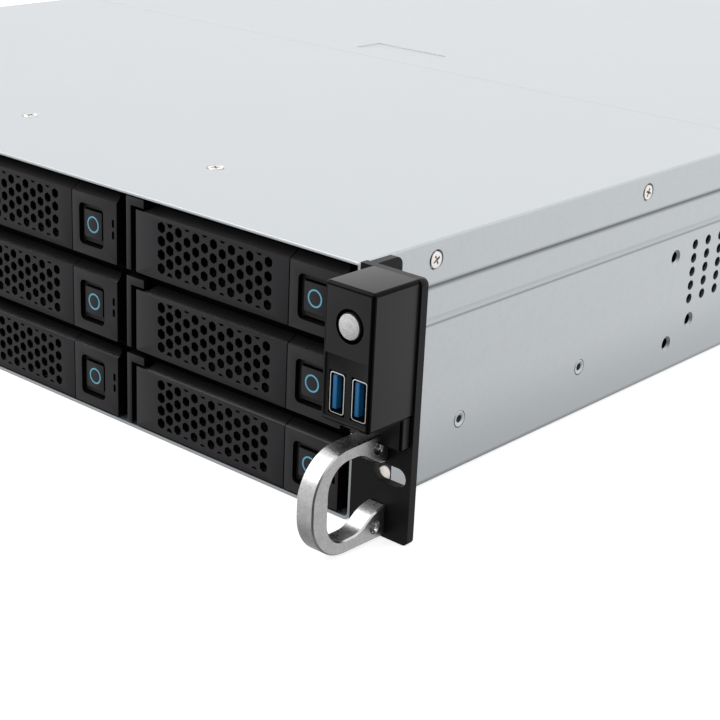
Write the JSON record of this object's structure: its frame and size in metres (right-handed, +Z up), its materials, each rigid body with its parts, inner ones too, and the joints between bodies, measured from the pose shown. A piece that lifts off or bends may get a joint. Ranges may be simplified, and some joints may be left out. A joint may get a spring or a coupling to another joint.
{
  "type": "rackmount server chassis",
  "caption": "Flat steel rack chassis with sliding drive trays across the front, black ears, bow handles, a control box and two slide-out power supplies at the rear.",
  "frame": {"origin": "middle of the underside's overall box, on the surface that the chassis stands on", "axes": "+X to the right seen from the front, +Y from the front to the rear, +Z up"},
  "size_m": [0.4826, 0.7082, 0.088],
  "materials": {
    "galvanised_steel": "galvanised, fine spangle, dull sheen",
    "black_paint": "fine black paint, half gloss",
    "glossy_black": "moulded black plastic with a soft gloss",
    "tray_black": "moulded charcoal black, fine texture",
    "black_plastic": "moulded black plastic",
    "bright_aluminium": "brushed bow with bright rim",
    "button_silver": "satin silver cap",
    "nickel": "nickel plated",
    "circuit_board": "green solder mask",
    "supply_case": "plain sheet metal case",
    "latch_plastic": "moulded black plastic tab"
  },
  "bodies": {
    "chassis": {"base_pan": "galvanised_steel", "front_cover": "galvanised_steel", "bay_walls": "galvanised_steel", "backplane": "circuit_board", "fan_wall": "galvanised_steel", "fan_frames": "black_plastic", "right_ear": "black_paint", "left_ear": "black_paint", "right_handle": "bright_aluminium", "left_handle": "bright_aluminium", "control_box": "glossy_black", "indicator_box": "glossy_black", "usb_ports": "nickel", "screws": "nickel"},
    "rear_lid": {"rear_lid": "galvanised_steel", "lid_thumbscrews": "nickel"},
    "power_button": {"power_button": "button_silver"},
    "fan_rotor_1": {"fan_rotor_1": "black_plastic"},
    "fan_rotor_2": {"fan_rotor_2": "black_plastic"},
    "fan_rotor_3": {"fan_rotor_3": "black_plastic"},
    "psu_1": {"psu_1": "supply_case"},
    "psu_latch_1": {"psu_latch_1": "latch_plastic"},
    "psu_2": {"psu_2": "supply_case"},
    "psu_latch_2": {"psu_latch_2": "latch_plastic"},
    "tray_r1c1": {"tray_r1c1": "tray_black"},
    "lever_r1c1": {"lever_r1c1": "tray_black"},
    "release_r1c1": {"release_r1c1": "tray_black"},
    "tray_r1c2": {"tray_r1c2": "tray_black"},
    "lever_r1c2": {"lever_r1c2": "tray_black"},
    "release_r1c2": {"release_r1c2": "tray_black"},
    "tray_r1c3": {"tray_r1c3": "tray_black"},
    "lever_r1c3": {"lever_r1c3": "tray_black"},
    "release_r1c3": {"release_r1c3": "tray_black"},
    "tray_r1c4": {"tray_r1c4": "tray_black"},
    "lever_r1c4": {"lever_r1c4": "tray_black"},
    "release_r1c4": {"release_r1c4": "tray_black"},
    "tray_r2c1": {"tray_r2c1": "tray_black"},
    "lever_r2c1": {"lever_r2c1": "tray_black"},
    "release_r2c1": {"release_r2c1": "tray_black"},
    "tray_r2c2": {"tray_r2c2": "tray_black"},
    "lever_r2c2": {"lever_r2c2": "tray_black"},
    "release_r2c2": {"release_r2c2": "tray_black"},
    "tray_r2c3": {"tray_r2c3": "tray_black"},
    "lever_r2c3": {"lever_r2c3": "tray_black"},
    "release_r2c3": {"release_r2c3": "tray_black"},
    "tray_r2c4": {"tray_r2c4": "tray_black"},
    "lever_r2c4": {"lever_r2c4": "tray_black"},
    "release_r2c4": {"release_r2c4": "tray_black"},
    "tray_r3c1": {"tray_r3c1": "tray_black"},
    "lever_r3c1": {"lever_r3c1": "tray_black"},
    "release_r3c1": {"release_r3c1": "tray_black"},
    "tray_r3c2": {"tray_r3c2": "tray_black"},
    "lever_r3c2": {"lever_r3c2": "tray_black"},
    "release_r3c2": {"release_r3c2": "tray_black"},
    "tray_r3c3": {"tray_r3c3": "tray_black"},
    "lever_r3c3": {"lever_r3c3": "tray_black"},
    "release_r3c3": {"release_r3c3": "tray_black"},
    "tray_r3c4": {"tray_r3c4": "tray_black"},
    "lever_r3c4": {"lever_r3c4": "tray_black"},
    "release_r3c4": {"release_r3c4": "tray_black"}
  },
  "joints": [
    {"name": "rear_lid_slide", "type": "slide", "parent": "chassis", "child": "rear_lid", "axis": [0, 1, 0], "range_m": [0, 0.018]},
    {"name": "power_button_press", "type": "slide", "parent": "chassis", "child": "power_button", "axis": [0, 1, 0], "range_m": [0, 0.001], "stiffness_N_per_m": 400},
    {"name": "fan_1_spin", "type": "hinge", "parent": "chassis", "child": "fan_rotor_1", "pos_m": [-0.138, -0.04485, 0.0434], "axis": [0, 1, 0], "continuous": true},
    {"name": "fan_2_spin", "type": "hinge", "parent": "chassis", "child": "fan_rotor_2", "pos_m": [0, -0.04485, 0.0434], "axis": [0, 1, 0], "continuous": true},
    {"name": "fan_3_spin", "type": "hinge", "parent": "chassis", "child": "fan_rotor_3", "pos_m": [0.138, -0.04485, 0.0434], "axis": [0, 1, 0], "continuous": true},
    {"name": "psu_1_slide", "type": "slide", "parent": "chassis", "child": "psu_1", "axis": [0, 1, 0], "range_m": [0, 0.19]},
    {"name": "psu_latch_1_press", "type": "slide", "parent": "psu_1", "child": "psu_latch_1", "axis": [-1, 0, 0], "range_m": [0, 0.0025], "stiffness_N_per_m": 600},
    {"name": "psu_2_slide", "type": "slide", "parent": "chassis", "child": "psu_2", "axis": [0, 1, 0], "range_m": [0, 0.19]},
    {"name": "psu_latch_2_press", "type": "slide", "parent": "psu_2", "child": "psu_latch_2", "axis": [-1, 0, 0], "range_m": [0, 0.0025], "stiffness_N_per_m": 600},
    {"name": "tray_r1c1_slide", "type": "slide", "parent": "chassis", "child": "tray_r1c1", "axis": [0, -1, 0], "range_m": [0, 0.17]},
    {"name": "lever_r1c1_swing", "type": "hinge", "parent": "tray_r1c1", "child": "lever_r1c1", "pos_m": [-0.2032, -0.31585, 0.07115], "axis": [0, 0, -1], "range_deg": [0, 75]},
    {"name": "release_r1c1_press", "type": "slide", "parent": "tray_r1c1", "child": "release_r1c1", "axis": [0, 1, 0], "range_m": [0, 0.0015], "stiffness_N_per_m": 300},
    {"name": "tray_r1c2_slide", "type": "slide", "parent": "chassis", "child": "tray_r1c2", "axis": [0, -1, 0], "range_m": [0, 0.17]},
    {"name": "lever_r1c2_swing", "type": "hinge", "parent": "tray_r1c2", "child": "lever_r1c2", "pos_m": [-0.0965, -0.31585, 0.07115], "axis": [0, 0, -1], "range_deg": [0, 75]},
    {"name": "release_r1c2_press", "type": "slide", "parent": "tray_r1c2", "child": "release_r1c2", "axis": [0, 1, 0], "range_m": [0, 0.0015], "stiffness_N_per_m": 300},
    {"name": "tray_r1c3_slide", "type": "slide", "parent": "chassis", "child": "tray_r1c3", "axis": [0, -1, 0], "range_m": [0, 0.17]},
    {"name": "lever_r1c3_swing", "type": "hinge", "parent": "tray_r1c3", "child": "lever_r1c3", "pos_m": [0.0102, -0.31585, 0.07115], "axis": [0, 0, -1], "range_deg": [0, 75]},
    {"name": "release_r1c3_press", "type": "slide", "parent": "tray_r1c3", "child": "release_r1c3", "axis": [0, 1, 0], "range_m": [0, 0.0015], "stiffness_N_per_m": 300},
    {"name": "tray_r1c4_slide", "type": "slide", "parent": "chassis", "child": "tray_r1c4", "axis": [0, -1, 0], "range_m": [0, 0.17]},
    {"name": "lever_r1c4_swing", "type": "hinge", "parent": "tray_r1c4", "child": "lever_r1c4", "pos_m": [0.1169, -0.31585, 0.07115], "axis": [0, 0, -1], "range_deg": [0, 75]},
    {"name": "release_r1c4_press", "type": "slide", "parent": "tray_r1c4", "child": "release_r1c4", "axis": [0, 1, 0], "range_m": [0, 0.0015], "stiffness_N_per_m": 300},
    {"name": "tray_r2c1_slide", "type": "slide", "parent": "chassis", "child": "tray_r2c1", "axis": [0, -1, 0], "range_m": [0, 0.17]},
    {"name": "lever_r2c1_swing", "type": "hinge", "parent": "tray_r2c1", "child": "lever_r2c1", "pos_m": [-0.2032, -0.31585, 0.0424], "axis": [0, 0, -1], "range_deg": [0, 75]},
    {"name": "release_r2c1_press", "type": "slide", "parent": "tray_r2c1", "child": "release_r2c1", "axis": [0, 1, 0], "range_m": [0, 0.0015], "stiffness_N_per_m": 300},
    {"name": "tray_r2c2_slide", "type": "slide", "parent": "chassis", "child": "tray_r2c2", "axis": [0, -1, 0], "range_m": [0, 0.17]},
    {"name": "lever_r2c2_swing", "type": "hinge", "parent": "tray_r2c2", "child": "lever_r2c2", "pos_m": [-0.0965, -0.31585, 0.0424], "axis": [0, 0, -1], "range_deg": [0, 75]},
    {"name": "release_r2c2_press", "type": "slide", "parent": "tray_r2c2", "child": "release_r2c2", "axis": [0, 1, 0], "range_m": [0, 0.0015], "stiffness_N_per_m": 300},
    {"name": "tray_r2c3_slide", "type": "slide", "parent": "chassis", "child": "tray_r2c3", "axis": [0, -1, 0], "range_m": [0, 0.17]},
    {"name": "lever_r2c3_swing", "type": "hinge", "parent": "tray_r2c3", "child": "lever_r2c3", "pos_m": [0.0102, -0.31585, 0.0424], "axis": [0, 0, -1], "range_deg": [0, 75]},
    {"name": "release_r2c3_press", "type": "slide", "parent": "tray_r2c3", "child": "release_r2c3", "axis": [0, 1, 0], "range_m": [0, 0.0015], "stiffness_N_per_m": 300},
    {"name": "tray_r2c4_slide", "type": "slide", "parent": "chassis", "child": "tray_r2c4", "axis": [0, -1, 0], "range_m": [0, 0.17]},
    {"name": "lever_r2c4_swing", "type": "hinge", "parent": "tray_r2c4", "child": "lever_r2c4", "pos_m": [0.1169, -0.31585, 0.0424], "axis": [0, 0, -1], "range_deg": [0, 75]},
    {"name": "release_r2c4_press", "type": "slide", "parent": "tray_r2c4", "child": "release_r2c4", "axis": [0, 1, 0], "range_m": [0, 0.0015], "stiffness_N_per_m": 300},
    {"name": "tray_r3c1_slide", "type": "slide", "parent": "chassis", "child": "tray_r3c1", "axis": [0, -1, 0], "range_m": [0, 0.17]},
    {"name": "lever_r3c1_swing", "type": "hinge", "parent": "tray_r3c1", "child": "lever_r3c1", "pos_m": [-0.2032, -0.31585, 0.01365], "axis": [0, 0, -1], "range_deg": [0, 75]},
    {"name": "release_r3c1_press", "type": "slide", "parent": "tray_r3c1", "child": "release_r3c1", "axis": [0, 1, 0], "range_m": [0, 0.0015], "stiffness_N_per_m": 300},
    {"name": "tray_r3c2_slide", "type": "slide", "parent": "chassis", "child": "tray_r3c2", "axis": [0, -1, 0], "range_m": [0, 0.17]},
    {"name": "lever_r3c2_swing", "type": "hinge", "parent": "tray_r3c2", "child": "lever_r3c2", "pos_m": [-0.0965, -0.31585, 0.01365], "axis": [0, 0, -1], "range_deg": [0, 75]},
    {"name": "release_r3c2_press", "type": "slide", "parent": "tray_r3c2", "child": "release_r3c2", "axis": [0, 1, 0], "range_m": [0, 0.0015], "stiffness_N_per_m": 300},
    {"name": "tray_r3c3_slide", "type": "slide", "parent": "chassis", "child": "tray_r3c3", "axis": [0, -1, 0], "range_m": [0, 0.17]},
    {"name": "lever_r3c3_swing", "type": "hinge", "parent": "tray_r3c3", "child": "lever_r3c3", "pos_m": [0.0102, -0.31585, 0.01365], "axis": [0, 0, -1], "range_deg": [0, 75]},
    {"name": "release_r3c3_press", "type": "slide", "parent": "tray_r3c3", "child": "release_r3c3", "axis": [0, 1, 0], "range_m": [0, 0.0015], "stiffness_N_per_m": 300},
    {"name": "tray_r3c4_slide", "type": "slide", "parent": "chassis", "child": "tray_r3c4", "axis": [0, -1, 0], "range_m": [0, 0.17]},
    {"name": "lever_r3c4_swing", "type": "hinge", "parent": "tray_r3c4", "child": "lever_r3c4", "pos_m": [0.1169, -0.31585, 0.01365], "axis": [0, 0, -1], "range_deg": [0, 75]},
    {"name": "release_r3c4_press", "type": "slide", "parent": "tray_r3c4", "child": "release_r3c4", "axis": [0, 1, 0], "range_m": [0, 0.0015], "stiffness_N_per_m": 300}
  ]
}
